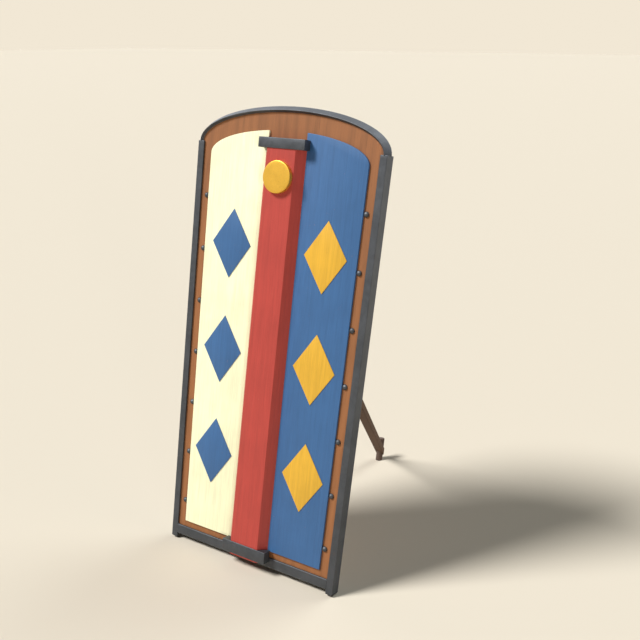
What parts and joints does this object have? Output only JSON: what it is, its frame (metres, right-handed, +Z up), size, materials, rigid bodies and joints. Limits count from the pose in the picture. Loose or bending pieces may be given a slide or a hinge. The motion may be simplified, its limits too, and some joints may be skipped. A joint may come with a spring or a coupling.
{
  "type": "pavise",
  "caption": "Tall standing shield with an arched top, painted wood in an iron binding, leaning back on a hinged wooden prop.",
  "frame": {"origin": "centre of the whole object's box, on the floor, with the prop open", "axes": "+Z up, -Y out of the painted front, +X to the viewer's right when looking at the front"},
  "size_m": [0.6434, 0.8684, 1.3287],
  "materials": {
    "board_wood": "plain brown planed wood, oiled",
    "cream_paint": "matt cream paint on wood",
    "blue_paint": "matt blue paint on wood",
    "red_paint": "matt red paint on wood",
    "gold_paint": "gold-coloured paint on thin wood",
    "iron": "dull dark grey forged iron",
    "brass": "satin yellow brass",
    "dark_wood": "dark brown oiled wood"
  },
  "bodies": {
    "shield": {"board": "board_wood", "cream_field": "cream_paint", "blue_field": "blue_paint", "arch_band": "iron", "left_rail": "iron", "right_rail": "iron", "bottom_rail": "iron", "ridge": "red_paint", "top_cap": "iron", "bottom_cap": "iron", "boss": "brass", "blue_lozenge_1": "blue_paint", "blue_lozenge_2": "blue_paint", "blue_lozenge_3": "blue_paint", "gold_lozenge_1": "gold_paint", "gold_lozenge_2": "gold_paint", "gold_lozenge_3": "gold_paint", "left_rivet_1": "iron", "left_rivet_2": "iron", "left_rivet_3": "iron", "left_rivet_4": "iron", "left_rivet_5": "iron", "left_rivet_6": "iron", "left_rivet_7": "iron", "right_rivet_1": "iron", "right_rivet_2": "iron", "right_rivet_3": "iron", "right_rivet_4": "iron", "right_rivet_5": "iron", "right_rivet_6": "iron", "right_rivet_7": "iron", "hinge_bracket": "iron", "hinge_pin": "iron", "bracket_nail_1": "iron", "bracket_nail_2": "iron", "bracket_nail_3": "iron", "bracket_nail_4": "iron"},
    "prop": {"prop_strut": "dark_wood", "prop_foot": "iron"}
  },
  "joints": [
    {"name": "prop_hinge", "type": "hinge", "parent": "shield", "child": "prop", "pos_m": [0, -0.17993, 0.92616], "axis": [-1, 0, 0], "range_deg": [0, 44]}
  ]
}
